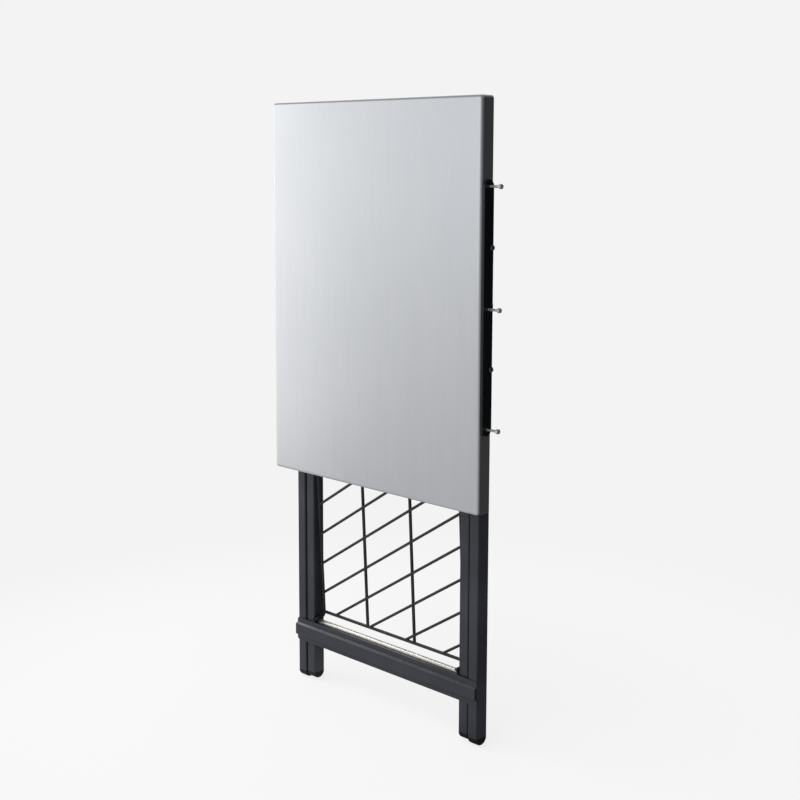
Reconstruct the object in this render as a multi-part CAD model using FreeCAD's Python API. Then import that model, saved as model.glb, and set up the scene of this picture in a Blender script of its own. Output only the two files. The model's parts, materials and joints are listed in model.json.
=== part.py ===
import FreeCAD, Part
import math
import os

os.makedirs("parts", exist_ok=True)

# Folding table for an outdoor pizza oven, standing folded: the top hangs upright in front
# of two leg frames. All sizes are in millimetres. Seen from the front, x runs to the right
# from the top's left side, y runs back from the top's face, and z runs up from the feet.

# Tabletop pan
top_width = 600.0
top_length = 800.0
top_depth = 32.0
top_sheet = 1.5
top_lip = 8.0
top_edge_radius = 5.8
top_corner_radius = 7.0
top_above_floor = 490.0

# Leg tubes
tube_width = 24.0
outer_tube_depth = 32.0
inner_tube_depth = 30.0
tube_wall = 1.5
tube_corner = 3.0
leg_inset = 31.0
leg_gap = 3.0
top_to_leg_gap = 6.0
inner_foot_lift = 3.5
tube_above_pivot = 12.0
cap_thickness = 2.0
plug_length = 28.0
foot_edge_radius = 2.5
plug_clearance = 0.0

# Main pivot
pivot_bolt_radius = 5.0
bolt_head_radius = 8.0
bolt_head_height = 4.0
nut_height = 4.0
running_clearance = 0.05
side_clearance = 0.5
face_clearance = 0.3
washer_radius = 11.0
open_half_angle = 25.0

# Hinge brackets and stiffening channels under the top
bracket_plate = 4.0
bracket_base = 3.0
bracket_half_height = 38.0
bracket_eye_radius = 14.0
channel_width = 44.0
channel_height = 20.0
channel_sheet = 2.0
channel_foot = 9.0
channel_end_gap = 22.0
cross_channel_width = 30.0
cross_channel_height = 12.0
cross_channel_foot = 8.0
cross_channel_places = (-330.0, 235.0)
bracket_screw_radius = 2.5
bracket_screw_head_radius = 4.5
bracket_screw_head_height = 2.4
bracket_screw_spread = 27.0
bracket_screw_side = 15.0

# Crossbars of the outer frame
crossbar_base = 87.5
crossbar_height = 51.0
crossbar_flange = 10.5
crossbar_proud = 8.0
crossbar_sheet = 2.0
crossbar_shoulder_slope = 3.0
crossbar_edge_radius = 2.0
crossbar_end_chamfer = 3.0
crossbar_overhang = 1.0
upper_bar_height = 30.0
upper_bar_thickness = 4.0
upper_bar_below_pivot = 43.0

# Stainless rod and top tube of the inner frame
rod_radius = 6.5
rod_above_floor = 136.0
bush_radius = 11.0
bush_length = 2.2
top_tube_radius = 10.0
top_tube_below_pivot = 60.0

# Wire shelf
wire_radius = 3.4
slant_wire_radius = 3.0
weld_gap = 0.05
shelf_side_gap = 2.8
shelf_rod_gap = 1.8
shelf_back_gap = 1.8
shelf_top_gap = 11.0
shelf_lean = 0.052
long_wire_count = 2
slant_pitch = 68.5
slant_rise = 0.632
slant_first = 63.0
wire_bend_radius = 11.0
shelf_pivot_forward = 15.0
shelf_pin_radius = 2.5
lug_thickness = 2.0
lug_eye_radius = 6.0
lug_side_gap = 0.4

# Hook stays under the rear half of the top
stay_thickness = 4.0
stay_half_height = 14.0
stay_inset = 98.0
stay_pivot_above = 130.0
stay_pivot_depth = 22.0
stay_pin_radius = 3.0
stay_pin_head_radius = 5.5
stay_pin_head_height = 2.0
stay_base = 3.0
stay_base_width = 24.0
stay_bracket_half_height = 16.0

# Tool rail on the right side
rail_width = 27.0
rail_thickness = 6.0
rail_front = 2.5
rail_edge_radius = 1.2
peg_spacing = 231.0
peg_radius = 2.5
peg_head_radius = 4.8
peg_head_height = 5.5
peg_reach = 36.0
rail_screw_spacing = 232.0
rail_screw_depth = 25.0
rail_screw_radius = 2.0
rail_screw_head_radius = 6.0
rail_screw_head_height = 4.0

# Derived places
depth_total = top_depth + top_to_leg_gap + outer_tube_depth
origin_x = (top_width + peg_reach) / 2
origin_y = depth_total / 2
pivot_z = top_above_floor + top_length / 2
outer_front = top_depth + top_to_leg_gap
pivot_y = outer_front + outer_tube_depth / 2
inner_front = depth_total - inner_tube_depth
inner_mid = inner_front + inner_tube_depth / 2
outer_side = leg_inset
outer_inside = leg_inset + tube_width
inner_side = outer_inside + leg_gap
inner_inside = inner_side + tube_width
mid_x = top_width / 2


upper_bar_top = pivot_z - upper_bar_below_pivot
upper_bar_bottom = upper_bar_top - upper_bar_height
shelf_pivot_height = rod_above_floor + rod_radius + shelf_rod_gap + wire_radius
shelf_pivot_depth = inner_mid - shelf_pivot_forward
shelf_bottom_height = shelf_pivot_height + wire_bend_radius
shelf_bottom_depth = depth_total - shelf_back_gap - wire_radius
shelf_length = upper_bar_bottom - shelf_top_gap - wire_radius - shelf_bottom_height


def vec(x, y, z):
    return FreeCAD.Vector(x - origin_x, y - origin_y, z)


def box(x0, x1, y0, y1, z0, z1):
    return Part.makeBox(x1 - x0, y1 - y0, z1 - z0, vec(x0, y0, z0))


def rod_along_x(x0, x1, y, z, radius):
    return Part.makeCylinder(radius, x1 - x0, vec(x0, y, z), FreeCAD.Vector(1, 0, 0))


def rod_along_y(x, y0, y1, z, radius):
    return Part.makeCylinder(radius, y1 - y0, vec(x, y0, z), FreeCAD.Vector(0, 1, 0))


def rod_between(start, end, radius):
    run = end - start
    return Part.makeCylinder(radius, run.Length, start, run)


def plate_along_x(points, x0, x1):
    corners = [vec(x0, y, z) for y, z in points]
    face = Part.Face(Part.makePolygon(corners + [corners[0]]))
    return face.extrude(FreeCAD.Vector(x1 - x0, 0, 0))


def mirrored(shape):
    return shape.mirror(vec(mid_x, 0, 0), FreeCAD.Vector(1, 0, 0))


def edges_along(shape, direction, keep=lambda middle: True):
    found = []
    for edge in shape.Edges:
        ends = [v.Point for v in edge.Vertexes]
        if len(ends) != 2:
            continue
        run = (ends[1] - ends[0]).normalize()
        if abs(abs(run.dot(direction)) - 1) < 1e-6 and keep((ends[0] + ends[1]) / 2):
            found.append(edge)
    return found


def save(name, shapes):
    solids = []
    for shape in shapes if isinstance(shapes, list) else [shapes]:
        solids += shape.Solids
    for solid in solids:
        if not solid.isValid():
            raise ValueError(name + " has an invalid solid")
    result = solids[0] if len(solids) == 1 else Part.makeCompound(solids)
    result.exportStep("parts/" + name + ".step")
    print(name, len(solids), "solid(s)")


# Tabletop: one folded sheet, open at the back, with a lip turned in all round

def tabletop_pan():
    low = top_above_floor
    high = top_above_floor + top_length
    up = FreeCAD.Vector(0, 0, 1)
    across = FreeCAD.Vector(1, 0, 0)
    outer = box(0, top_width, 0, top_depth, low, high)
    outer = outer.makeFillet(top_corner_radius, edges_along(outer, FreeCAD.Vector(0, 1, 0)))
    face_y = -origin_y
    front = [e for e in outer.Edges if abs(e.CenterOfMass.y - face_y) < 1e-6]
    outer = outer.makeFillet(top_edge_radius, front)
    t = top_sheet
    inner = box(t, top_width - t, t, top_depth - t, low + t, high - t)
    inner = inner.makeFillet(top_corner_radius - t, edges_along(inner, FreeCAD.Vector(0, 1, 0)))
    inside = [e for e in inner.Edges if abs(e.CenterOfMass.y - face_y - t) < 1e-6]
    inner = inner.makeFillet(top_edge_radius - t, inside)
    opening = box(top_lip, top_width - top_lip, t, top_depth, low + top_lip, high - top_lip)
    return outer.cut(inner).cut(opening)


def channel(x0, x1, z0, z1, height, foot, along_z):
    """Hat-shaped stiffener, seated on the underside of the sheet."""
    base = top_sheet
    s = channel_sheet
    if along_z:
        body = box(x0 + foot, x1 - foot, base, base + height, z0, z1)
        hollow = box(x0 + foot + s, x1 - foot - s, base, base + height - s, z0, z1)
    else:
        body = box(x0, x1, base, base + height, z0 + foot, z1 - foot)
        hollow = box(x0, x1, base, base + height - s, z0 + foot + s, z1 - foot - s)
    feet = box(x0, x1, base, base + s, z0, z1)
    return feet.fuse(body).cut(hollow).removeSplitter()


channel_mid = (outer_side + inner_inside) / 2
channel_left = channel_mid - channel_width / 2 - channel_foot
channel_right = channel_mid + channel_width / 2 + channel_foot
channel_back = top_sheet + channel_height


def long_channel():
    low = top_above_floor + channel_end_gap
    high = top_above_floor + top_length - channel_end_gap
    return channel(channel_left, channel_right, low, high, channel_height, channel_foot, True)


def cross_channel(middle):
    half = cross_channel_width / 2 + cross_channel_foot
    x0 = channel_right
    x1 = top_width - channel_right
    return channel(x0, x1, middle - half, middle + half, cross_channel_height, cross_channel_foot, False)


# Hinge brackets: a base on the channel and two ears that hold the pivot bolt

ear_outer = outer_side - side_clearance - bracket_plate
ear_inner = inner_inside + side_clearance


def hinge_bracket():
    base_back = channel_back + bracket_base
    shape = box(ear_outer, ear_inner + bracket_plate, channel_back, base_back,
                pivot_z - bracket_half_height, pivot_z + bracket_half_height)
    for x0 in (ear_outer, ear_inner):
        outline = [(channel_back, pivot_z - bracket_half_height),
                   (channel_back, pivot_z + bracket_half_height),
                   (pivot_y, pivot_z + bracket_eye_radius),
                   (pivot_y, pivot_z - bracket_eye_radius)]
        shape = shape.fuse(plate_along_x(outline, x0, x0 + bracket_plate))
        shape = shape.fuse(rod_along_x(x0, x0 + bracket_plate, pivot_y, pivot_z, bracket_eye_radius))
    bore = rod_along_x(ear_outer - 1, ear_inner + bracket_plate + 1, pivot_y, pivot_z,
                       pivot_bolt_radius + running_clearance)
    return cut_bracket_screws(shape.cut(bore)).removeSplitter()


def bracket_screw_places():
    return [(channel_mid + sx * bracket_screw_side / 2, pivot_z + sz * bracket_screw_spread)
            for sx in (-1, 1) for sz in (-1, 1)]


def cut_bracket_screws(shape):
    for x, z in bracket_screw_places():
        hole = rod_along_y(x, channel_back - channel_sheet, channel_back + bracket_base, z,
                           bracket_screw_radius)
        shape = shape.cut(hole)
    return shape


def bracket_screws():
    screws = []
    for x, z in bracket_screw_places():
        shank = rod_along_y(x, channel_back - channel_sheet, channel_back + bracket_base, z,
                            bracket_screw_radius)
        head_y = channel_back + bracket_base
        head = rod_along_y(x, head_y, head_y + bracket_screw_head_height, z, bracket_screw_head_radius)
        screws.append(shank.fuse(head).removeSplitter())
    return screws


# Legs: rectangular tubes with a rounded foot plug below and a flat cap above

def tube(x0, width, y0, depth, z0, z1):
    up = FreeCAD.Vector(0, 0, 1)
    body = box(x0, x0 + width, y0, y0 + depth, z0, z1)
    body = body.makeFillet(tube_corner, edges_along(body, up))
    w = tube_wall
    hollow = box(x0 + w, x0 + width - w, y0 + w, y0 + depth - w, z0, z1)
    hollow = hollow.makeFillet(tube_corner - w, edges_along(hollow, up))
    return body.cut(hollow)


def tube_inside(x0, width, y0, depth, z0, z1):
    up = FreeCAD.Vector(0, 0, 1)
    w = tube_wall + plug_clearance
    core = box(x0 + w, x0 + width - w, y0 + w, y0 + depth - w, z0, z1)
    return core.makeFillet(tube_corner - tube_wall, edges_along(core, up))


def foot_plug(x0, depth, y0, floor):
    radius = depth / 2
    rounding = rod_along_x(x0, x0 + tube_width, y0 + radius, floor + radius, radius)
    below = box(x0, x0 + tube_width, y0, y0 + depth, floor, floor + radius)
    half_round = rounding.common(below)
    sides = [e for e in half_round.Edges if isinstance(e.Curve, Part.Circle)]
    half_round = half_round.makeFillet(foot_edge_radius, sides)
    spigot = tube_inside(x0, tube_width, y0, depth, floor + radius, floor + radius + plug_length)
    return half_round.fuse(spigot).removeSplitter()


def end_cap(x0, depth, y0):
    top = pivot_z + tube_above_pivot
    plate = box(x0, x0 + tube_width, y0, y0 + depth, top, top + cap_thickness)
    plate = plate.makeFillet(tube_corner, edges_along(plate, FreeCAD.Vector(0, 0, 1)))
    spigot = tube_inside(x0, tube_width, y0, depth, top - cap_thickness, top)
    return plate.fuse(spigot).removeSplitter()


def pivot_bore(extra):
    return rod_along_x(0, mid_x, pivot_y, pivot_z, pivot_bolt_radius + extra)


def outer_leg():
    low = outer_tube_depth / 2
    leg = tube(outer_side, tube_width, outer_front, outer_tube_depth, low, pivot_z + tube_above_pivot)
    return leg.cut(pivot_bore(running_clearance))


def inner_leg():
    low = inner_foot_lift + inner_tube_depth / 2
    leg = tube(inner_side, tube_width, inner_front, inner_tube_depth, low, pivot_z + tube_above_pivot)
    return leg.cut(pivot_bore(running_clearance))


# Pivot hardware

def pivot_bolt():
    head_x = ear_outer - face_clearance
    end_x = ear_inner + bracket_plate + face_clearance + nut_height
    shank = rod_along_x(head_x, end_x, pivot_y, pivot_z, pivot_bolt_radius)
    head = rod_along_x(head_x - bolt_head_height, head_x, pivot_y, pivot_z, bolt_head_radius)
    return shank.fuse(head).removeSplitter()


def pivot_nut():
    x0 = ear_inner + bracket_plate + face_clearance
    points = []
    for step in range(6):
        angle = math.radians(60 * step)
        points.append((pivot_y + bolt_head_radius * math.cos(angle),
                       pivot_z + bolt_head_radius * math.sin(angle)))
    return plate_along_x(points, x0, x0 + nut_height).cut(pivot_bore(0))


def pivot_washer():
    x0 = outer_inside + face_clearance
    x1 = inner_side - face_clearance
    return rod_along_x(x0, x1, pivot_y, pivot_z, washer_radius).cut(pivot_bore(0))


# Outer frame's crossbars, on the fronts of its legs

def lower_crossbar():
    x0 = outer_side - crossbar_overhang
    x1 = top_width - x0
    s = crossbar_sheet
    low = crossbar_base
    high = crossbar_base + crossbar_height
    back = outer_front
    face = back - crossbar_proud
    step_low = low + crossbar_flange
    step_high = high - crossbar_flange
    slope = crossbar_shoulder_slope
    outline = [(back, low), (back - s, low), (back - s, step_low), (face, step_low + slope),
               (face, step_high - slope), (back - s, step_high), (back - s, high), (back, high),
               (back, step_high - s), (face + s, step_high - slope - s), (face + s, step_low + slope + s),
               (back, step_low + s)]
    bar = plate_along_x(outline, x0, x1)
    across = FreeCAD.Vector(1, 0, 0)
    ridges = edges_along(bar, across, lambda p: abs(p.y + origin_y - face) < 1e-6)
    bar = bar.makeFillet(crossbar_edge_radius, ridges)
    c = crossbar_end_chamfer
    for end, sign in ((x0, 1), (x1, -1)):
        for edge_z, turn in ((low, 1), (high, -1)):
            corners = [vec(end, face - 1, edge_z), vec(end + sign * c, face - 1, edge_z),
                       vec(end, face - 1, edge_z + turn * c)]
            wedge = Part.Face(Part.makePolygon(corners + [corners[0]]))
            bar = bar.cut(wedge.extrude(FreeCAD.Vector(0, crossbar_proud + 2, 0)))
    return bar


def upper_crossbar():
    return box(outer_side, top_width - outer_side, outer_front - upper_bar_thickness, outer_front,
               upper_bar_bottom, upper_bar_top)


# Inner frame's rod, bushes and top tube

def rest_rod():
    return rod_along_x(inner_inside, top_width - inner_inside, inner_mid, rod_above_floor, rod_radius)


def rod_bush():
    ring = rod_along_x(inner_inside, inner_inside + bush_length, inner_mid, rod_above_floor, bush_radius)
    return ring.cut(rest_rod())


def top_tube():
    z = pivot_z - top_tube_below_pivot
    body = rod_along_x(inner_inside, top_width - inner_inside, inner_mid, z, top_tube_radius)
    hollow = rod_along_x(inner_inside, top_width - inner_inside, inner_mid, z, top_tube_radius - tube_wall)
    return body.cut(hollow)


# Wire shelf: it stands between the inner legs and leans forward towards its upper end

side_wire_x = inner_inside + shelf_side_gap + wire_radius
shelf_width = top_width - 2 * side_wire_x
lug_x = inner_inside + lug_side_gap
lean_angle = math.atan(shelf_lean)
shelf_up = FreeCAD.Vector(0, -math.sin(lean_angle), math.cos(lean_angle))
shelf_front = FreeCAD.Vector(0, -math.cos(lean_angle), -math.sin(lean_angle))


def shelf_point(x, along, layer=0.0):
    """Point of the shelf's plane: along is measured up from the bottom wire."""
    return vec(x, shelf_bottom_depth, shelf_bottom_height) + shelf_up * along + shelf_front * layer


def side_wire():
    """Straight down, then forward over the rod, with a pin that turns in the crossbar's lug."""
    x = side_wire_x
    r = wire_bend_radius
    bottom_y = shelf_bottom_depth
    top = shelf_point(x, shelf_length)
    bend_z = shelf_pivot_height + r
    start = vec(x, bottom_y, bend_z)
    turn_mid = vec(x, bottom_y - r + r * math.sin(math.radians(45)),
                   bend_z - r * math.cos(math.radians(45)))
    level = vec(x, bottom_y - r, shelf_pivot_height)
    tip = vec(x, shelf_pivot_depth, shelf_pivot_height)
    path = Part.Wire([Part.Arc(start, turn_mid, level).toShape(), Part.makeLine(level, tip)])
    section = Part.Wire([Part.makeCircle(wire_radius, start, FreeCAD.Vector(0, 0, -1))])
    wire = rod_between(start, top, wire_radius).fuse(Part.makeSphere(wire_radius, start))
    wire = wire.fuse(path.makePipeShell([section], True, False)).fuse(Part.makeSphere(wire_radius, tip))
    pin = rod_along_x(inner_inside + face_clearance, x, shelf_pivot_depth, shelf_pivot_height,
                      shelf_pin_radius)
    return wire.fuse(pin).removeSplitter()


def upright(x, radius):
    return rod_between(shelf_point(x, -wire_bend_radius), shelf_point(x, shelf_length + wire_radius), radius)


def cross_line(along, radius):
    return rod_between(shelf_point(side_wire_x, along), shelf_point(top_width - side_wire_x, along), radius)


def cross_wire(along):
    """Wire between the two side wires, its ends hollowed to fit round them."""
    wire = cross_line(along, wire_radius)
    for x in (side_wire_x, top_width - side_wire_x):
        wire = wire.cut(upright(x, wire_radius + weld_gap))
    return wire


def long_wire(number):
    """Upright between the bottom and upper wires, its ends hollowed to fit round them."""
    x = side_wire_x + shelf_width * number / (long_wire_count + 1)
    wire = rod_between(shelf_point(x, 0), shelf_point(x, shelf_length), wire_radius)
    for along in (0, shelf_length):
        wire = wire.cut(cross_line(along, wire_radius + weld_gap))
    return wire


def slant_wires():
    """Sloping wires in the shelf's plane, their ends hollowed to fit round the wires they meet."""
    left = side_wire_x
    right = top_width - side_wire_x
    half_rise = slant_rise * shelf_width / 2
    hollow = wire_radius + weld_gap
    frame = [cross_line(0, hollow), cross_line(shelf_length, hollow)]
    for number in range(long_wire_count + 2):
        frame.append(upright(left + shelf_width * number / (long_wire_count + 1), hollow))
    wires = []
    centre = slant_first - shelf_bottom_height
    while centre - half_rise < shelf_length:
        low_along = max(0.0, centre - half_rise)
        high_along = min(shelf_length, centre + half_rise)
        if high_along - low_along > slant_pitch / 3:
            low_x = mid_x + (low_along - centre) / slant_rise
            high_x = mid_x + (high_along - centre) / slant_rise
            wire = rod_between(shelf_point(max(left, low_x), low_along),
                               shelf_point(min(right, high_x), high_along), slant_wire_radius)
            wires += wire.cut(frame).Solids
        centre += slant_pitch
    return wires


def shelf_lug():
    x0 = lug_x
    x1 = lug_x + lug_thickness
    base_low = crossbar_base + crossbar_height - crossbar_flange
    base_high = crossbar_base + crossbar_height
    back = outer_front
    eye = rod_along_x(x0, x1, shelf_pivot_depth, shelf_pivot_height, lug_eye_radius)
    web = plate_along_x([(back, base_low), (back, base_high), (shelf_pivot_depth - lug_eye_radius,
                         shelf_pivot_height), (shelf_pivot_depth + lug_eye_radius, shelf_pivot_height)],
                        x0, x1)
    bore = rod_along_x(x0 - 1, x1 + 1, shelf_pivot_depth, shelf_pivot_height,
                       shelf_pin_radius + running_clearance)
    return eye.fuse(web).cut(bore).removeSplitter()


# Hook stays: they swing from the top's rear half down onto the inner frame's top tube

stay_pivot_z = pivot_z + stay_pivot_above


def open_stay():
    """Length and swing of a stay when the table is open, from the open positions."""
    inner_radius = pivot_z - inner_foot_lift - inner_tube_depth / 2
    outer_radius = pivot_z - outer_tube_depth / 2
    height = outer_radius * math.cos(math.radians(open_half_angle)) + outer_tube_depth / 2
    inner_angle = math.acos((height - inner_tube_depth / 2) / inner_radius)
    back = top_tube_below_pivot * math.sin(inner_angle)
    down = top_tube_below_pivot * math.cos(inner_angle)
    back += (inner_mid - pivot_y) * math.cos(inner_angle)
    down -= (inner_mid - pivot_y) * math.sin(inner_angle)
    run = stay_pivot_above - back
    drop = (pivot_y - stay_pivot_depth) + down
    spread = open_half_angle + math.degrees(inner_angle)
    return math.hypot(run, drop), math.degrees(math.atan2(drop, run)), spread, height


stay_length, stay_swing, leg_spread, open_height = open_stay()


def stay():
    x0 = stay_inset
    x1 = stay_inset + stay_thickness
    half = stay_half_height
    end_z = stay_pivot_z - stay_length
    bar = box(x0, x1, stay_pivot_depth - half, stay_pivot_depth + half, end_z, stay_pivot_z)
    for z in (end_z, stay_pivot_z):
        bar = bar.fuse(rod_along_x(x0, x1, stay_pivot_depth, z, half))
    notch_radius = top_tube_radius + face_clearance
    notch = rod_along_x(x0 - 1, x1 + 1, stay_pivot_depth, end_z, notch_radius)
    mouth = box(x0 - 1, x1 + 1, stay_pivot_depth, stay_pivot_depth + 2 * half,
                end_z - notch_radius, end_z + notch_radius)
    bore = rod_along_x(x0 - 1, x1 + 1, stay_pivot_depth, stay_pivot_z,
                       stay_pin_radius + running_clearance)
    return bar.cut(notch).cut(mouth).cut(bore).removeSplitter()


def stay_bracket():
    x0 = stay_inset + stay_thickness + side_clearance
    x1 = x0 + stay_thickness
    low = stay_pivot_z - stay_bracket_half_height
    high = stay_pivot_z + stay_bracket_half_height
    base = box(x0, x0 + stay_base_width, top_sheet, top_sheet + stay_base, low, high)
    web = box(x0, x1, top_sheet, stay_pivot_depth, low, high)
    eye = rod_along_x(x0, x1, stay_pivot_depth, stay_pivot_z, stay_bracket_half_height / 2)
    web = web.common(plate_along_x([(top_sheet, low), (top_sheet, high),
                                    (stay_pivot_depth, stay_pivot_z + stay_bracket_half_height / 2),
                                    (stay_pivot_depth, stay_pivot_z - stay_bracket_half_height / 2)],
                                   x0, x1))
    bore = rod_along_x(x0 - 1, x1 + 1, stay_pivot_depth, stay_pivot_z, stay_pin_radius)
    return base.fuse(web).fuse(eye).cut(bore).removeSplitter()


def stay_pin():
    x0 = stay_inset - face_clearance
    x1 = stay_inset + 2 * stay_thickness + side_clearance
    shank = rod_along_x(x0, x1, stay_pivot_depth, stay_pivot_z, stay_pin_radius)
    head = rod_along_x(x0 - stay_pin_head_height, x0, stay_pivot_depth, stay_pivot_z, stay_pin_head_radius)
    tail = rod_along_x(x1, x1 + stay_pin_head_height, stay_pivot_depth, stay_pivot_z, stay_pin_head_radius)
    return shank.fuse(head).fuse(tail).removeSplitter()


# Tool rail with its pegs and screws, on the right side of the top

rail_mid_y = rail_front + rail_width / 2


def rail_screw_heights():
    return [pivot_z + side * rail_screw_spacing / 2 for side in (-1, 1)]


def peg_heights():
    return [pivot_z + side * peg_spacing for side in (-1, 0, 1)]


def tool_rail():
    """Flat bar with round ends, each centred on its end peg."""
    half = rail_width / 2
    ends = [peg_heights()[0], peg_heights()[-1]]
    rail = box(top_width, top_width + rail_thickness, rail_front, rail_front + rail_width, *ends)
    for z in ends:
        rail = rail.fuse(rod_along_x(top_width, top_width + rail_thickness, rail_mid_y, z, half))
    rail = rail.removeSplitter()
    outer_face = top_width + rail_thickness - origin_x
    rim = [e for e in rail.Edges if abs(e.BoundBox.XMin - outer_face) < 1e-6]
    rail = rail.makeFillet(rail_edge_radius, rim)
    for z in peg_heights():
        rail = rail.cut(rod_along_x(top_width, top_width + rail_thickness, rail_mid_y, z, peg_radius))
    for z in rail_screw_heights():
        rail = rail.cut(rod_along_x(top_width, top_width + rail_thickness, rail_screw_depth, z,
                                    rail_screw_radius))
    return rail


def tool_peg(z):
    end = top_width + peg_reach
    neck = end - peg_head_height
    shank = rod_along_x(top_width, neck, rail_mid_y, z, peg_radius)
    head = rod_along_x(neck, end, rail_mid_y, z, peg_head_radius)
    return shank.fuse(head).removeSplitter()


def rail_screw(z):
    seat = top_width + rail_thickness
    shank = rod_along_x(top_width, seat, rail_screw_depth, z, rail_screw_radius)
    dome = rod_along_x(seat, seat + rail_screw_head_height, rail_screw_depth, z, rail_screw_head_radius)
    rim = [e for e in dome.Edges if abs(e.CenterOfMass.x + origin_x - seat - rail_screw_head_height) < 1e-6]
    dome = dome.makeFillet(rail_screw_head_height / 2, rim)
    return shank.fuse(dome).removeSplitter()


def pair(shape):
    return [shape, mirrored(shape)]


def save_sides(name, shape):
    save("left_" + name, shape)
    save("right_" + name, mirrored(shape))


save("tabletop_pan", tabletop_pan())
save_sides("stiffening_channel", cut_bracket_screws(long_channel()))
save("rear_cross_channel", cross_channel(pivot_z + cross_channel_places[1]))
save("front_cross_channel", cross_channel(pivot_z + cross_channel_places[0]))
save_sides("hinge_bracket", hinge_bracket())
save("hinge_bracket_screws", bracket_screws() + [mirrored(s) for s in bracket_screws()])
save_sides("stay_bracket", stay_bracket())
save_sides("stay_pin", stay_pin())
save("tool_rail", tool_rail())
for place, z in zip(("lower", "middle", "upper"), peg_heights()):
    save(place + "_tool_peg", tool_peg(z))
save("rail_screws", [rail_screw(z) for z in rail_screw_heights()])
save_sides("hook_stay", stay())

save_sides("outer_leg", outer_leg())
save_sides("outer_foot", foot_plug(outer_side, outer_tube_depth, outer_front, 0))
save_sides("outer_end_cap", end_cap(outer_side, outer_tube_depth, outer_front))
save("lower_crossbar", lower_crossbar())
save("upper_crossbar", upper_crossbar())
save_sides("shelf_lug", shelf_lug())
save_sides("pivot_bolt", pivot_bolt())
save("pivot_nuts", pair(pivot_nut()))
save("pivot_washers", pair(pivot_washer()))

save_sides("inner_leg", inner_leg())
save_sides("inner_foot", foot_plug(inner_side, inner_tube_depth, inner_front, inner_foot_lift))
save_sides("inner_end_cap", end_cap(inner_side, inner_tube_depth, inner_front))
save("inner_top_tube", top_tube())
save("shelf_rest_rod", rest_rod())
save_sides("rod_bush", rod_bush())

save_sides("shelf_side_wire", side_wire())
save("shelf_bottom_wire", cross_wire(0))
save("shelf_upper_wire", cross_wire(shelf_length))
for number in range(1, long_wire_count + 1):
    save("shelf_long_wire_" + str(number), long_wire(number))
save("shelf_slant_wires", slant_wires())

print("stay length", round(stay_length, 2), "swing", round(stay_swing, 3))
print("leg spread", round(leg_spread, 3), "open pivot height", round(open_height, 2))
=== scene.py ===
# %% [markdown]
# # A folding table for an outdoor pizza oven
#
# The table stands folded: a brushed stainless top hangs upright in front of two black leg
# frames, with a wire shelf between the legs and a tool rail on the right side. The metalwork
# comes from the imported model. This script dresses it, adds the small formed details, and
# lights it as a product photograph on a white sweep.

import json
import math

import bpy
import numpy as np
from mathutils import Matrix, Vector

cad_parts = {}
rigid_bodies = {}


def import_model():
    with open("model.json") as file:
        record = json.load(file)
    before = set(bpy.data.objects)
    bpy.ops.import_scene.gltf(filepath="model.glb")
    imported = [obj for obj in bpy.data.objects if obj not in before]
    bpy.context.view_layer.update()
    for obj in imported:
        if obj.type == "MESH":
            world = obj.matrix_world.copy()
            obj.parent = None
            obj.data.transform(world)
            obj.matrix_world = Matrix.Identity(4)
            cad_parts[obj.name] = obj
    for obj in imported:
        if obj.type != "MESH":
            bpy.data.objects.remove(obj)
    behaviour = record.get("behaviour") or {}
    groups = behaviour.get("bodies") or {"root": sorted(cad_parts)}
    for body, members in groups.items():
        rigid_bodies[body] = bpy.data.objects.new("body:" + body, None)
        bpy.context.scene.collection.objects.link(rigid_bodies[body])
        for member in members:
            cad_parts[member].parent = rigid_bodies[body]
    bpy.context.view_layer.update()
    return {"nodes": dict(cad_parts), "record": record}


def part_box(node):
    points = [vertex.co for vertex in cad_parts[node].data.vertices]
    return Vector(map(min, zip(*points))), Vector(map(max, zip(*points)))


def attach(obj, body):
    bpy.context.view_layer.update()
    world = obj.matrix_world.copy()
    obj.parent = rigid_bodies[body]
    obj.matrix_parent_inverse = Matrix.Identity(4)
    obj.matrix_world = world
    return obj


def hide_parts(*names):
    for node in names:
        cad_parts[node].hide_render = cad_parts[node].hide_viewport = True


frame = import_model()
nodes = frame["nodes"]
MM = 0.001

# %% [markdown]
# ## Writing shader maths as plain expressions
#
# A node tree is wired by hand, one link at a time, which is hard to read back. This small class
# wraps one socket, so that `0.3 + mask * 0.5` adds the Math nodes itself. Colours and vectors
# keep to Mix and Vector Math nodes, because a Math node would turn them grey.

# %% A socket that takes part in arithmetic
# Sockets that can only be told apart by their number.
FACTOR, COLOUR_A, COLOUR_B = 0, 6, 7
MIXED_COLOUR = 2
SCALAR = 1
DIRECTION, OBJECT_PLACE = 0, 3
RAY_SEEN, RAY_MIRRORED = 0, 3


class Socket:
    """One output of a shader node, which adds a Math node for each operator used on it."""

    def __init__(self, shader, link):
        self.shader = shader
        self.link = link

    def _math(self, operation, *values):
        return self.shader.node("ShaderNodeMath", {"operation": operation}, dict(enumerate(values)))

    def __add__(self, other):
        return self._math("ADD", self, other)

    def __radd__(self, other):
        return self._math("ADD", other, self)

    def __mul__(self, other):
        return self._math("MULTIPLY", self, other)

    def smooth(self, low, high):
        """Rises smoothly from 0 to 1 while this value goes from low to high."""
        settings = {"interpolation_type": "SMOOTHSTEP"}
        return self.shader.node("ShaderNodeMapRange", settings,
                                {"Value": self, "From Min": low, "From Max": high})


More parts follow.
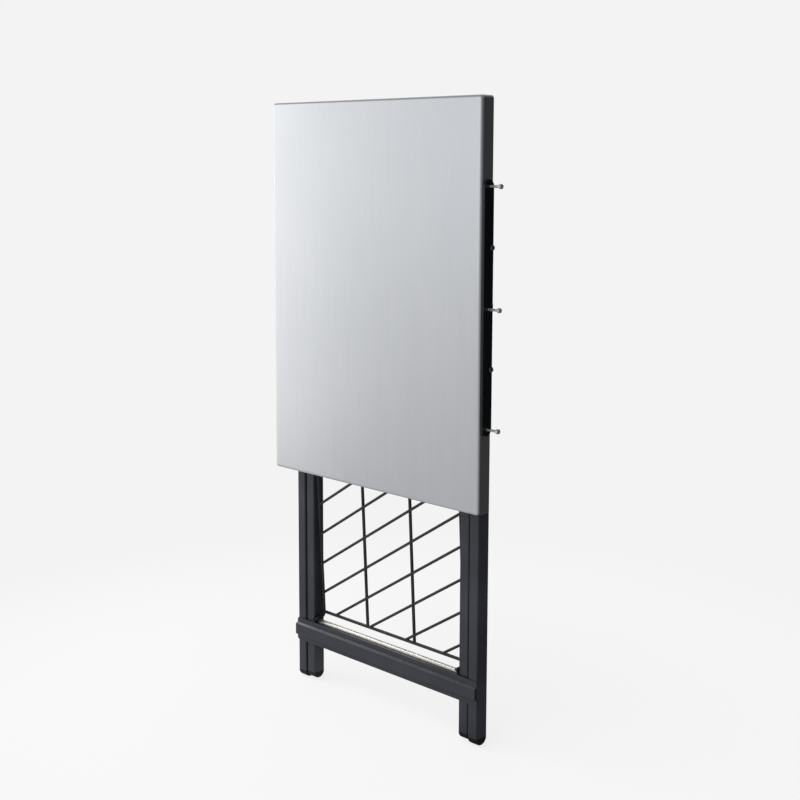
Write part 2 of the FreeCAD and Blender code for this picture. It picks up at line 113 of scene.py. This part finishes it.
class Shader:
    """A node tree under construction: node() adds a node, sets it up and returns its output."""

    def __init__(self, tree):
        self.tree = tree
        tree.nodes.clear()

    def node(self, kind, settings, inputs, output=0):
        made = self.tree.nodes.new(kind)
        for key, value in settings.items():
            setattr(made, key, value)
        for key, value in inputs.items():
            if isinstance(value, Socket):
                self.tree.links.new(value.link, made.inputs[key])
            else:
                made.inputs[key].default_value = value
        return Socket(self, made.outputs[output])

    def mix_colour(self, factor, first, second):
        inputs = {FACTOR: factor, COLOUR_A: first, COLOUR_B: second}
        return self.node("ShaderNodeMix", {"data_type": "RGBA"}, inputs, output=MIXED_COLOUR)

    def along(self, place, direction):
        """How far a place or a direction lies along the given direction: their dot product."""
        return self.node("ShaderNodeVectorMath", {"operation": "DOT_PRODUCT"},
                         {0: place, 1: tuple(direction)}, output=SCALAR)

    def object_place(self, scale=(1.0, 1.0, 1.0)):
        place = self.node("ShaderNodeTexCoord", {}, {}, output=OBJECT_PLACE)
        return self.node("ShaderNodeMapping", {}, {"Vector": place, "Scale": scale})

    def noise(self, place, scale, detail=2.0, roughness=0.5):
        inputs = {"Vector": place, "Scale": scale, "Detail": detail, "Roughness": roughness}
        return self.node("ShaderNodeTexNoise", {}, inputs)

    def ray(self, kind):
        """1 for rays of one kind, RAY_SEEN or RAY_MIRRORED, and 0 for all others."""
        return self.node("ShaderNodeLightPath", {}, {}, output=kind)

    def bump(self, height, distance):
        inputs = {"Height": height, "Distance": distance, "Strength": 1.0}
        return self.node("ShaderNodeBump", {}, inputs)

    def surface(self, **inputs):
        named = {key.replace("_", " "): value for key, value in inputs.items()}
        shader = self.node("ShaderNodeBsdfPrincipled", {}, named)
        self.node_output(shader)

    def node_output(self, shader, kind="ShaderNodeOutputMaterial"):
        out = self.tree.nodes.new(kind)
        self.tree.links.new(shader.link, out.inputs["Surface"])


def new_material(name):
    material = bpy.data.materials.new(name)
    material.use_nodes = True
    return material, Shader(material.node_tree)


# %% [markdown]
# ## Brushed stainless steel
#
# The top is cold-rolled sheet, brushed along its length by an abrasive belt. Each scratch is a
# hair wide and a few centimetres long, so a noise stretched along the length stands for them:
# it moves the roughness and gives a very shallow bump. A slow second noise is the faint
# clouding of sheet that has been handled.

# %% Brushed stainless for the top
HAIR_STRETCH = (1.0, 1.0, 0.02)
STREAK_STRETCH = (1.0, 1.0, 0.04)
STREAK_SHARE = 0.45
STEEL_SHADES = (0.735, 0.745, 0.76, 1.0), (0.79, 0.797, 0.805, 1.0)
STEEL_ROUGHNESS = 0.28
HAIR_ROUGHNESS = 0.08
STREAK_ROUGHNESS = 0.05
HAIR_HEIGHT_SHARE = 0.6
SCRATCH_DEPTH = 0.000025


def brushed_stainless():
    material, s = new_material("brushed_stainless")
    hair = s.noise(s.object_place(HAIR_STRETCH), scale=1800.0, detail=3.0, roughness=0.6)
    streak = s.noise(s.object_place(STREAK_STRETCH), scale=160.0, detail=4.0, roughness=0.65)
    cloud = s.noise(s.object_place(), scale=3.2)
    shade = (streak * STREAK_SHARE + cloud * (1 - STREAK_SHARE)).smooth(low=0.25, high=0.75)
    rough = STEEL_ROUGHNESS + hair * HAIR_ROUGHNESS + streak * STREAK_ROUGHNESS
    grain = s.bump(hair * HAIR_HEIGHT_SHARE + streak * (1 - HAIR_HEIGHT_SHARE), SCRATCH_DEPTH)
    s.surface(Base_Color=s.mix_colour(shade, *STEEL_SHADES), Metallic=1.0, Roughness=rough,
              Normal=grain)
    return material


# %% [markdown]
# ## Bright stainless rod and pegs
#
# The shelf's rest rod and the tool pegs are drawn bar, turned smooth. Their mirror image of the
# room is soft and a little warm, with faint marks that the drawing left along the bar.

# %% Bright stainless
DRAWN_STRETCH = (0.06, 1.0, 1.0)
BAR_SHADES = (0.68, 0.66, 0.60, 1.0), (0.76, 0.74, 0.67, 1.0)
BAR_METALLIC = 0.85
BAR_ROUGHNESS = 0.32
DRAWN_ROUGHNESS = 0.04
DRAWN_DEPTH = 0.000004


def bright_stainless():
    material, s = new_material("bright_stainless")
    drawn = s.noise(s.object_place(DRAWN_STRETCH), scale=900.0)
    cloud = s.noise(s.object_place(), scale=40.0)
    s.surface(Base_Color=s.mix_colour(cloud, *BAR_SHADES), Metallic=BAR_METALLIC,
              Roughness=BAR_ROUGHNESS + drawn * DRAWN_ROUGHNESS, Normal=s.bump(drawn, DRAWN_DEPTH))
    return material


# %% [markdown]
# ## Black powder coat
#
# The legs, crossbars and channels are steel with a baked powder coat. Seen close it is a fine
# orange peel, satin rather than matt, and a little bluish. The shelf's wire has the same kind of
# coat, duller and more neutral.

# %% Powder coat for the frames, and a duller one for the shelf's wire
FRAME_SHADES = (0.021, 0.0235, 0.031, 1.0), (0.030, 0.0335, 0.0425, 1.0)
FRAME_ROUGHNESS = 0.30
FRAME_PEEL = 0.00004
WIRE_SHADES = (0.014, 0.0145, 0.016, 1.0), (0.020, 0.021, 0.023, 1.0)
WIRE_ROUGHNESS = 0.42
WIRE_PEEL = 0.00003
COAT_CLOUD_ROUGHNESS = 0.10
COAT_SOFT_ROUGHNESS = 0.06
PEEL_SHARE = 0.5


def powder_coat(name, shades, lowest_roughness, peel_height):
    material, s = new_material(name)
    place = s.object_place()
    peel = s.noise(place, scale=1500.0)
    soft = s.noise(place, scale=260.0, detail=3.0, roughness=0.55)
    cloud = s.noise(place, scale=9.0, detail=3.0)
    colour = s.mix_colour(cloud.smooth(low=0.3, high=0.7), *shades)
    rough = lowest_roughness + cloud * COAT_CLOUD_ROUGHNESS + soft * COAT_SOFT_ROUGHNESS
    height = peel * PEEL_SHARE + soft * (1 - PEEL_SHARE)
    s.surface(Base_Color=colour, Metallic=0.0, Roughness=rough, Normal=s.bump(height, peel_height))
    return material


# %% [markdown]
# ## Black plastic
#
# Foot plugs, bushes and tube caps are moulded plastic. The mould was spark eroded, which leaves
# a fine even grain, and the surface is matt. The tool rail comes out of a polished mould: it is
# nearly black, and only its sheen and the pegs' mirror images show.

# %% Moulded plastic
PLASTIC_SHADES = (0.007, 0.007, 0.00735, 1.0), (0.0119, 0.0119, 0.0126, 1.0)
PLASTIC_SHEEN = 0.3
PLASTIC_ROUGHNESS = 0.5
GRAIN_ROUGHNESS = 0.16
GRAIN_HEIGHT = 0.00004
RAIL_SHADES = (0.0010, 0.0019, 0.0036, 1.0), (0.0020, 0.0032, 0.0054, 1.0)
RAIL_ROUGHNESS = 0.17
DUST_ROUGHNESS = 0.12
RIPPLE_HEIGHT = 0.00002


def matt_plastic():
    material, s = new_material("black_plastic")
    place = s.object_place()
    grain = s.noise(place, scale=2200.0)
    cloud = s.noise(place, scale=30.0)
    s.surface(Base_Color=s.mix_colour(cloud, *PLASTIC_SHADES), Metallic=0.0,
              Specular_IOR_Level=PLASTIC_SHEEN, Roughness=PLASTIC_ROUGHNESS + grain * GRAIN_ROUGHNESS,
              Normal=s.bump(grain, GRAIN_HEIGHT))
    return material


def gloss_plastic():
    material, s = new_material("gloss_black")
    place = s.object_place()
    ripple = s.noise(place, scale=60.0)
    dust = s.noise(place, scale=900.0, detail=3.0, roughness=0.6)
    s.surface(Base_Color=s.mix_colour(dust, *RAIL_SHADES), Metallic=0.0,
              Roughness=RAIL_ROUGHNESS + dust * DUST_ROUGHNESS, Normal=s.bump(ripple, RIPPLE_HEIGHT))
    return material


# %% [markdown]
# ## Zinc plated fasteners
#
# Bolts, nuts and washers are plated with zinc, which sets in small cells. Each cell has its own
# roughness, so the plating glitters a little.

# %% Zinc plating
ZINC_SHADES = (0.46, 0.47, 0.48, 1.0), (0.62, 0.63, 0.64, 1.0)
ZINC_CELLS = 420.0
ZINC_ROUGHNESS = 0.32
CELL_ROUGHNESS = 0.15
ZINC_HEIGHT = 0.00003


def zinc_hardware():
    material, s = new_material("zinc_hardware")
    place = s.object_place()
    cell = s.node("ShaderNodeTexVoronoi", {}, {"Vector": place, "Scale": ZINC_CELLS})
    cloud = s.noise(place, scale=60.0, detail=3.0, roughness=0.6)
    s.surface(Base_Color=s.mix_colour(cloud, *ZINC_SHADES), Metallic=1.0,
              Roughness=ZINC_ROUGHNESS + cell * CELL_ROUGHNESS, Normal=s.bump(cloud, ZINC_HEIGHT))
    return material


# %% [markdown]
# ## Dressing the nodes
#
# The record names a material slot for each node, and each slot has one finish.

# %% Give every node the finish of its material slot
materials = {
    "brushed_stainless": brushed_stainless(),
    "bright_stainless": bright_stainless(),
    "black_coating": powder_coat("black_coating", FRAME_SHADES, FRAME_ROUGHNESS, FRAME_PEEL),
    "dark_wire": powder_coat("dark_wire", WIRE_SHADES, WIRE_ROUGHNESS, WIRE_PEEL),
    "black_plastic": matt_plastic(),
    "gloss_black": gloss_plastic(),
    "zinc_hardware": zinc_hardware(),
}
for part in frame["record"]["subparts"]:
    mesh = nodes[part["node"]].data
    mesh.materials.clear()
    mesh.materials.append(materials[part["material_slot"]])

# %% [markdown]
# ## Turned and headed fasteners
#
# A peg, a screw and a bolt are all rings strung along one axis. Each ring has a place along
# the axis, a radius, and a share of hexagon: 0 keeps it round, 1 gives it six flats, as on a
# bolt's head or inside a key socket. A grid of rings and sectors makes the whole surface, so
# the rounded edges are real geometry and catch the light.

# %% A surface of round and hexagonal rings
HEX_TURN = math.pi / 3
ROUND, HEXAGON = 0.0, 1.0
SHARP_ANGLE = math.radians(38)


def ringed(name, body, material, centre, sign, rings, sectors=48):
    """Rings about the X axis: x = along, y = r(t) cos t, z = r(t) sin t. With hexagon share h,
    r(t) is r times (1 - h) plus h times the hexagon's own radius, cos 30 over cos of the
    angle from the nearest flat's middle. The first and last rings close to a point."""
    along, radius, share = (np.array(column, dtype=float)[:, None] for column in zip(*rings))
    t = np.linspace(0.0, 2 * math.pi, sectors, endpoint=False)[None, :]
    flat = math.cos(HEX_TURN / 2) / np.cos(np.mod(t, HEX_TURN) - HEX_TURN / 2)
    r = radius * (1 - share + share * flat) * MM
    x = centre[0] + sign * along * MM + 0 * t
    y = centre[1] + r * np.cos(t)
    z = centre[2] + r * np.sin(t)
    points = np.stack([x, y, z], axis=-1).reshape(-1, 3)
    count = len(rings)
    row, column = np.meshgrid(np.arange(count - 1), np.arange(sectors), indexing="ij")
    after = (column + 1) % sectors
    quads = np.stack([row * sectors + column, row * sectors + after,
                      (row + 1) * sectors + after, (row + 1) * sectors + column], axis=-1).reshape(-1, 4)
    if sign > 0:
        quads = quads[:, ::-1]
    poles = np.array([[centre[0] + sign * rings[0][0] * MM, centre[1], centre[2]],
                      [centre[0] + sign * rings[-1][0] * MM, centre[1], centre[2]]])
    points = np.vstack([points, poles])
    ring = np.arange(sectors)
    follow = (ring + 1) % sectors
    first, last = len(points) - 2, len(points) - 1
    end = (count - 1) * sectors
    start_cap = np.stack([np.full(sectors, first), follow, ring], axis=-1)
    end_cap = np.stack([np.full(sectors, last), end + ring, end + follow], axis=-1)
    if sign > 0:
        start_cap, end_cap = start_cap[:, ::-1], end_cap[:, ::-1]
    faces = quads.tolist() + start_cap.tolist() + end_cap.tolist()
    mesh = bpy.data.meshes.new(name)
    mesh.from_pydata(points.tolist(), [], faces)
    mesh.shade_smooth()
    mesh.set_sharp_from_angle(angle=SHARP_ANGLE)
    mesh.materials.append(materials[material])
    made = bpy.data.objects.new(name, mesh)
    bpy.context.scene.collection.objects.link(made)
    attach(made, body)
    return made


def edge_arc(along, radius, size, outward, steps=5):
    """Quarter round, as rings, between a side and a face, with v from 0 to 90 degrees. Outward:
    place = face - size (1 - sin v), radius = side - size (1 - cos v). Otherwise the face is at
    the other end: place = face + size (1 - cos v), radius = side - size (1 - sin v)."""
    angles = np.linspace(0.0, math.pi / 2, steps)
    side = radius - size
    if outward:
        return [(along - size + size * math.sin(v), side + size * math.cos(v), ROUND) for v in angles]
    return [(along + size - size * math.cos(v), side + size * math.sin(v), ROUND) for v in angles]


# %% [markdown]
# ## Tool pegs
#
# Three steel pegs stand out of the rail for a peel and brushes. Each is turned from bar: a thin
# shank and a wider flat head that keeps the tool's loop on. The shank swells a little where it
# meets the head, and the lathe leaves a shallow dimple in the head's face.

# %% Pegs, with radii and lengths in millimetres
PEG_SHANK = 2.5
PEG_SWELL = 0.3
PEG_HEAD = 4.8
PEG_HEAD_LENGTH = 5.5
PEG_ROUND = 0.9
DIMPLE_RIM = PEG_HEAD * 0.45
DIMPLE_FLOOR = PEG_HEAD * 0.40
DIMPLE_DEPTH = 0.3
for place in ("lower", "middle", "upper"):
    node = place + "_tool_peg"
    low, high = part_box(node)
    reach = (high[0] - low[0]) / MM
    centre = (low[0], (low[1] + high[1]) / 2, (low[2] + high[2]) / 2)
    neck = reach - PEG_HEAD_LENGTH
    rings = [(0.0, PEG_SHANK, ROUND), (neck - PEG_ROUND, PEG_SHANK, ROUND),
             (neck, PEG_SHANK + PEG_SWELL, ROUND)]
    rings += edge_arc(neck, PEG_HEAD, PEG_ROUND, outward=False)
    rings += edge_arc(reach, PEG_HEAD, PEG_ROUND, outward=True)
    rings += [(reach, DIMPLE_RIM, ROUND), (reach - DIMPLE_DEPTH, DIMPLE_FLOOR, ROUND)]
    peg = ringed("turned_" + node, "tabletop", "bright_stainless", centre, 1, rings)
    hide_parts(node)
print("pegs reach", round(reach, 1), "mm from the top's side")

# %% [markdown]
# ## Rail screws
#
# Two black button-head screws hold the rail to the pan. Their domes stand proud of it, and each
# has a socket for a hexagonal key.

# %% Screws, with radii and lengths in millimetres
SCREW_SHANK = 2.0
SCREW_HEAD = 6.0
SCREW_SOCKET = 2.3
SCREW_SOCKET_DEPTH = 2.0
DOME_ANGLES = np.linspace(0.12, math.radians(66), 8)
UNDER_HEAD = 0.02
rail_low, rail_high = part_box("tool_rail")
rail_thickness = (rail_high[0] - rail_low[0]) / MM
low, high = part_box("rail_screws")
screw_y = (low[1] + high[1]) / 2
dome_top = (high[0] - low[0]) / MM
dome_scale = (dome_top - rail_thickness) / math.sin(DOME_ANGLES[-1])
rings = [(0.0, SCREW_SHANK, ROUND), (rail_thickness + UNDER_HEAD, SCREW_SHANK, ROUND)]
rings += [(rail_thickness + dome_scale * math.sin(a), SCREW_HEAD * math.cos(a), ROUND)
          for a in DOME_ANGLES]
rings += [(dome_top, SCREW_SOCKET, HEXAGON), (dome_top - SCREW_SOCKET_DEPTH, SCREW_SOCKET, HEXAGON)]
screws = [ringed("rail_screw_" + side, "tabletop", "black_coating", (low[0], screw_y, z), 1, rings)
          for side, z in (("lower", low[2] + SCREW_HEAD * MM), ("upper", high[2] - SCREW_HEAD * MM))]
for screw in screws:
    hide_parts("rail_screws")
print("screw domes stand", round(dome_top - rail_thickness, 1), "mm proud of the rail")

# %% [markdown]
# ## Pivot bolts
#
# One bolt on each side carries the top and both leg frames. It has a hexagonal head outside and
# runs through the bracket's ears and the two tubes to a nut inside.

# %% Bolts, with radii and lengths in millimetres
BOLT_SHANK = 5.0
BOLT_HEAD = 8.0
BOLT_HEAD_HEIGHT = 4.0
CROWN = [(0.0, BOLT_HEAD * 0.72, ROUND), (0.15, BOLT_HEAD * 0.82, 0.15), (0.9, BOLT_HEAD, HEXAGON)]
BOLT_TIP_LENGTH = 1.0
BOLT_TIP = BOLT_SHANK - 0.9
for side, sign in (("left", 1), ("right", -1)):
    node = side + "_pivot_bolt"
    low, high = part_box(node)
    length = (high[0] - low[0]) / MM
    start = low[0] if sign > 0 else high[0]
    centre = (start, (low[1] + high[1]) / 2, (low[2] + high[2]) / 2)
    rings = CROWN + [(BOLT_HEAD_HEIGHT, BOLT_HEAD, HEXAGON), (BOLT_HEAD_HEIGHT, BOLT_SHANK, ROUND),
                     (length - BOLT_TIP_LENGTH, BOLT_SHANK, ROUND), (length, BOLT_TIP, ROUND)]
    bolt = ringed("hex_" + node, "outer_frame", "zinc_hardware", centre, sign, rings)
    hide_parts(node)
print("pivot bolts are", round(length, 1), "mm long")

# %% [markdown]
# ## Weld beads on the shelf
#
# The shelf's wires are resistance welded where they cross: current melts the two wires
# together, and a little metal squeezes out as a soft collar. A flattened ball of a few dozen
# faces at each crossing is enough, and all of them share one mesh.

# %% Beads, with lengths in millimetres
WIRE_RADIUS = 3.4
SLANT_PITCH = 68.5
SLANT_RISE = 0.632
SLANT_START = 63.0
SLANT_NUMBERS = range(-2, 12)
END_GAP = 2 * WIRE_RADIUS
BEAD = np.array([4.6, 3.7, 4.2]) * MM
foot_low, foot_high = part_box("shelf_bottom_wire")
head_low, head_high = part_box("shelf_upper_wire")
foot_y, foot_z = (foot_low[1] + foot_high[1]) / 2, (foot_low[2] + foot_high[2]) / 2
head_y, head_z = (head_low[1] + head_high[1]) / 2, (head_low[2] + head_high[2]) / 2
uprights = [foot_low[0] - WIRE_RADIUS * MM, foot_high[0] + WIRE_RADIUS * MM]
for number in ("1", "2"):
    wire_low, wire_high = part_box("shelf_long_wire_" + number)
    uprights.append((wire_low[0] + wire_high[0]) / 2)
shelf_run = Vector((0.0, head_y - foot_y, head_z - foot_z))
along_shelf = np.array(shelf_run.normalized())
middle_x = (foot_low[0] + foot_high[0]) / 2


def bead_places():
    """Crossing of slant wire n with the upright at x: along = start + n pitch + rise (x - middle).
    Only crossings between the bottom and the upper wire are kept."""
    x, n = np.meshgrid(np.array(uprights), np.array(SLANT_NUMBERS))
    along = (SLANT_START + SLANT_PITCH * n) * MM - foot_z + SLANT_RISE * (x - middle_x)
    kept = (along > END_GAP * MM) & (along < shelf_run.length - END_GAP * MM)
    base = np.array([0.0, foot_y, foot_z])
    return (base + along[kept][:, None] * along_shelf
            + np.stack([x[kept], 0 * x[kept], 0 * x[kept]], axis=-1))


def beads(name, places, radii, rings=6, sectors=10):
    """Flattened balls: radius vector = (a sin p cos t, b cos p, c sin p sin t) about each place."""
    p = np.linspace(0.0, math.pi, rings + 1)[1:-1][:, None]
    t = np.linspace(0.0, 2 * math.pi, sectors, endpoint=False)[None, :]
    ball = np.stack([radii[0] * np.sin(p) * np.cos(t), radii[1] * np.cos(p) + 0 * t,
                     radii[2] * np.sin(p) * np.sin(t)], axis=-1).reshape(-1, 3)
    ball = np.vstack([ball, [[0.0, radii[1], 0.0], [0.0, -radii[1], 0.0]]])
    row, column = np.meshgrid(np.arange(rings - 2), np.arange(sectors), indexing="ij")
    after = (column + 1) % sectors
    quads = np.stack([row * sectors + column, row * sectors + after, (row + 1) * sectors + after,
                      (row + 1) * sectors + column], axis=-1).reshape(-1, 4)
    ring = np.arange(sectors)
    follow = (ring + 1) % sectors
    end = (rings - 2) * sectors
    caps = [(len(ball) - 2, b, a) for a, b in zip(ring, follow)]
    caps += [(len(ball) - 1, end + a, end + b) for a, b in zip(ring, follow)]
    step = len(ball) * np.arange(len(places))
    faces = (quads[None] + step[:, None, None]).reshape(-1, 4).tolist()
    faces += (np.array(caps)[None] + step[:, None, None]).reshape(-1, 3).tolist()
    points = (places[:, None, :] + ball[None]).reshape(-1, 3)
    mesh = bpy.data.meshes.new(name)
    mesh.from_pydata(points.tolist(), [], faces)
    mesh.shade_smooth()
    mesh.materials.append(materials["dark_wire"])
    made = bpy.data.objects.new(name, mesh)
    bpy.context.scene.collection.objects.link(made)
    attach(made, "shelf")
    return made


places = bead_places()
beads("shelf_weld_beads", places, BEAD)
print(len(places), "weld beads")

# %% [markdown]
# ## The white sweep
#
# The studio floor is a wide disc. Near the object it is part matt and part glowing, so that it
# keeps a faint soft shadow. Further out it only glows in the colour of the backdrop, so that no
# horizon shows. In the mirror of the steel the floor is grey, and darker behind on the right.

# %% Floor, with lengths in metres
BACKDROP = (0.896, 0.896, 0.896, 1.0)
FLOOR_RADIUS = 9.0
FLOOR_HEIGHT = -0.0005
FLOOR_FADE = (0.45, 1.5)
FLOOR_COLOUR = (0.90, 0.90, 0.90, 1.0)
FLOOR_GLOW = 0.75
NEAR_GLOW = (1.05, 1.05, 1.045, 1.0)
DARK_SIDE = Vector((0.69, 0.72, 0.0)).normalized()
DARK_SIDE_FADE = (-0.6, 1.1)
MIRRORED_FLOOR = (0.46, 0.47, 0.485, 1.0)
MIRRORED_DARK_FLOOR = (0.030, 0.029, 0.026, 1.0)


def disc(name, radius, height, rings=24, sectors=96):
    """Grid of rings and sectors: x = r cos t, y = r sin t, with r from 0 to the radius."""
    r = np.linspace(0.0, radius, rings + 1)[1:]
    t = np.linspace(0.0, 2 * math.pi, sectors, endpoint=False)
    x = np.outer(r, np.cos(t)).ravel()
    y = np.outer(r, np.sin(t)).ravel()
    points = np.vstack([[0.0, 0.0, height], np.column_stack([x, y, np.full_like(x, height)])])
    here = np.arange(sectors)
    after = (here + 1) % sectors
    faces = [(0, 1 + a, 1 + b) for a, b in zip(here, after)]
    for ring in range(rings - 1):
        inner = 1 + ring * sectors
        outer = inner + sectors
        faces += [(inner + a, outer + a, outer + b, inner + b) for a, b in zip(here, after)]
    mesh = bpy.data.meshes.new(name)
    mesh.from_pydata(points.tolist(), [], faces)
    made = bpy.data.objects.new(name, mesh)
    bpy.context.scene.collection.objects.link(made)
    return made


def sweep_material():
    """Part matt near the object, and glowing like the backdrop further out. The floor isn't
    sampled as a lamp, because a lamp's sample would take no notice of the mirrored colour."""
    material, s = new_material("sweep")
    place = s.node("ShaderNodeTexCoord", {}, {}, output=OBJECT_PLACE)
    away = s.node("ShaderNodeVectorMath", {"operation": "LENGTH"}, {0: place}, output=SCALAR)
    heading = s.node("ShaderNodeVectorMath", {"operation": "NORMALIZE"}, {0: place})
    side = s.along(heading, DARK_SIDE)
    shaded = s.mix_colour(side.smooth(*DARK_SIDE_FADE), MIRRORED_FLOOR, MIRRORED_DARK_FLOOR)
    mirrored = s.ray(RAY_MIRRORED)
    matt = s.node("ShaderNodeBsdfDiffuse", {}, {"Color": FLOOR_COLOUR})
    far = away.smooth(*FLOOR_FADE)
    seen = s.mix_colour(far, NEAR_GLOW, BACKDROP)
    glow = s.node("ShaderNodeEmission", {}, {"Color": s.mix_colour(mirrored, seen, shaded)})
    share = FLOOR_GLOW + far * (1 - FLOOR_GLOW)
    fade = s.node("ShaderNodeMath", {"operation": "MAXIMUM"}, {0: share, 1: mirrored})
    s.node_output(s.node("ShaderNodeMixShader", {}, {0: fade, 1: matt, 2: glow}))
    material.cycles.emission_sampling = "NONE"
    return material


floor = disc("studio_floor", FLOOR_RADIUS, FLOOR_HEIGHT)
floor.data.materials.append(sweep_material())
print("floor radius in metres:", FLOOR_RADIUS)

# %% [markdown]
# ## The room that the metal mirrors
#
# Polished metal has no colour of its own: it shows the room. In the picture the top's face
# mirrors a bright wall on the left and the side flange mirrors a dark one behind on the right.
# The bend between them sweeps over the front of the room, which is dark too, so it shades from
# light to dark. The camera sees an even white. Matt surfaces are lit by a third room, bright on
# the left and nearly black behind on the right, which models the frame's black tubes.

# %% World
MIRRORED_WALL = (0.675, 0.69, 0.715, 1.0)
MIRRORED_CEILING = (0.28, 0.29, 0.305, 1.0)
MIRRORED_FRONT = (0.06, 0.06, 0.062, 1.0)
MIRRORED_DARK_WALL = (0.020, 0.021, 0.024, 1.0)
CEILING, CEILING_FADE = Vector((-0.2, -0.3, 1.0)).normalized(), (0.45, 0.85)
FRONT_RIGHT, FRONT_FADE = Vector((1.0, -1.0, 0.0)).normalized(), (0.2, 1.2)
DARK_WALL_FADE = (-0.3, 1.05)
AMBIENT_LEFT = (0.95, 0.95, 0.97, 1.0)
AMBIENT_RIGHT = (0.04, 0.04, 0.045, 1.0)
AMBIENT_FADE = (-0.75, 0.75)


def room():
    world = bpy.data.worlds.new("room")
    world.use_nodes = True
    bpy.context.scene.world = world
    s = Shader(world.node_tree)
    look = s.node("ShaderNodeTexCoord", {}, {}, output=DIRECTION)
    shade = s.along(look, DARK_SIDE)
    ceiling = s.along(look, CEILING).smooth(*CEILING_FADE)
    front_right = s.along(look, FRONT_RIGHT).smooth(*FRONT_FADE)
    mirrored = s.mix_colour(ceiling, MIRRORED_WALL, MIRRORED_CEILING)
    mirrored = s.mix_colour(front_right, mirrored, MIRRORED_FRONT)
    mirrored = s.mix_colour(shade.smooth(*DARK_WALL_FADE), mirrored, MIRRORED_DARK_WALL)
    ambient = s.mix_colour(shade.smooth(*AMBIENT_FADE), AMBIENT_LEFT, AMBIENT_RIGHT)
    colour = s.mix_colour(s.ray(RAY_MIRRORED), ambient, mirrored)
    colour = s.mix_colour(s.ray(RAY_SEEN), colour, BACKDROP)
    glow = s.node("ShaderNodeBackground", {}, {"Color": colour, "Strength": 1.0})
    s.node_output(glow, "ShaderNodeOutputWorld")


room()

# %% [markdown]
# ## Soft boxes
#
# A key lamp and a top lamp light the matt surfaces and aren't mirrored. A tall card at the left
# and a narrow strip at the front left are mirrored in the steel face: they make it lighter
# towards its left edge. Two more lamps light only the frame and the small pieces, not the steel
# top. One at the left picks out the ridges of the tubes, and one behind gives the frame's back
# and the shelf a soft edge.

# %% Soft boxes
def soft_box(name, place, aim, size, power, mirrored):
    """Rectangular lamp that faces the aim. Place, aim and size are in metres, power in watts."""
    data = bpy.data.lights.new(name, "AREA")
    data.shape = "RECTANGLE"
    data.size, data.size_y = size
    data.energy = power
    lamp = bpy.data.objects.new(name, data)
    lamp.location = place
    lamp.visible_camera = False
    lamp.visible_glossy = mirrored
    lamp.rotation_euler = (Vector(aim) - Vector(place)).to_track_quat("-Z", "Y").to_euler()
    bpy.context.scene.collection.objects.link(lamp)
    return lamp


soft_box("key", place=(-2.1, -1.35, 2.45), aim=(0.0, 0.0, 0.25), size=(1.1, 1.1),
         power=8.0, mirrored=False)
soft_box("top", place=(0.3, -1.6, 3.4), aim=(0.0, 0.0, 0.3), size=(1.6, 1.2),
         power=9.0, mirrored=False)
soft_box("left_card", place=(-1.92, -0.687, 1.068), aim=(0.0, 0.0, 0.95), size=(1.232, 2.199),
         power=7.9, mirrored=True)
soft_box("front_strip", place=(-1.141, -2.032, 1.415), aim=(0.1, 0.0, 0.95), size=(0.36, 1.345),
         power=0.56, mirrored=True)
ridge_lamp = soft_box("ridge_lamp", place=(-1.25, -0.05, 1.5), aim=(0.0, 0.0, 0.12),
                      size=(0.8, 1.0), power=12.0, mirrored=True)
rear_lamp = soft_box("rear_lamp", place=(-1.3, 2.2, 1.0), aim=(0.0, 0.0, 0.7),
                     size=(1.2, 1.2), power=45.0, mirrored=False)

frame_pieces = bpy.data.collections.new("frame_pieces")
for piece in sorted(bpy.data.objects, key=lambda item: item.name):
    if piece.type == "MESH" and piece.name not in ("tabletop_pan", "studio_floor"):
        frame_pieces.objects.link(piece)
for lamp in (ridge_lamp, rear_lamp):
    lamp.light_linking.receiver_collection = frame_pieces

# %% [markdown]
# ## The camera
#
# The photograph was taken from the right, from just below the height of the top's upper edge,
# with a moderately long lens. Its upright lines are nearly parallel, which a level camera with
# a shifted lens gives. A small shift with a slight tilt keeps the object whole in other views.

# %% Camera, with its place in metres, angles in degrees and lens in millimetres
CAMERA_PLACE = (1.9029, -1.9027, 1.1673)
CAMERA_TURN = 44.455
CAMERA_TILT = 7.553
CAMERA_ROLL = 0.179
CAMERA_LENS = 59.38
CAMERA_SENSOR = 36.0
CAMERA_SHIFT = -0.08

camera_data = bpy.data.cameras.new("camera")
camera_data.lens = CAMERA_LENS
camera_data.sensor_width = CAMERA_SENSOR
camera_data.shift_y = CAMERA_SHIFT
camera = bpy.data.objects.new("camera", camera_data)
camera.location = CAMERA_PLACE
turn, tilt = math.radians(CAMERA_TURN), math.radians(CAMERA_TILT)
sight = Vector((-math.sin(turn) * math.cos(tilt), math.cos(turn) * math.cos(tilt),
                -math.sin(tilt)))
camera.rotation_euler = sight.to_track_quat("-Z", "Y").to_euler()
camera.rotation_euler.rotate_axis("Z", math.radians(CAMERA_ROLL))
bpy.context.scene.collection.objects.link(camera)
bpy.context.scene.camera = camera
bpy.context.scene.view_settings.view_transform = "Standard"
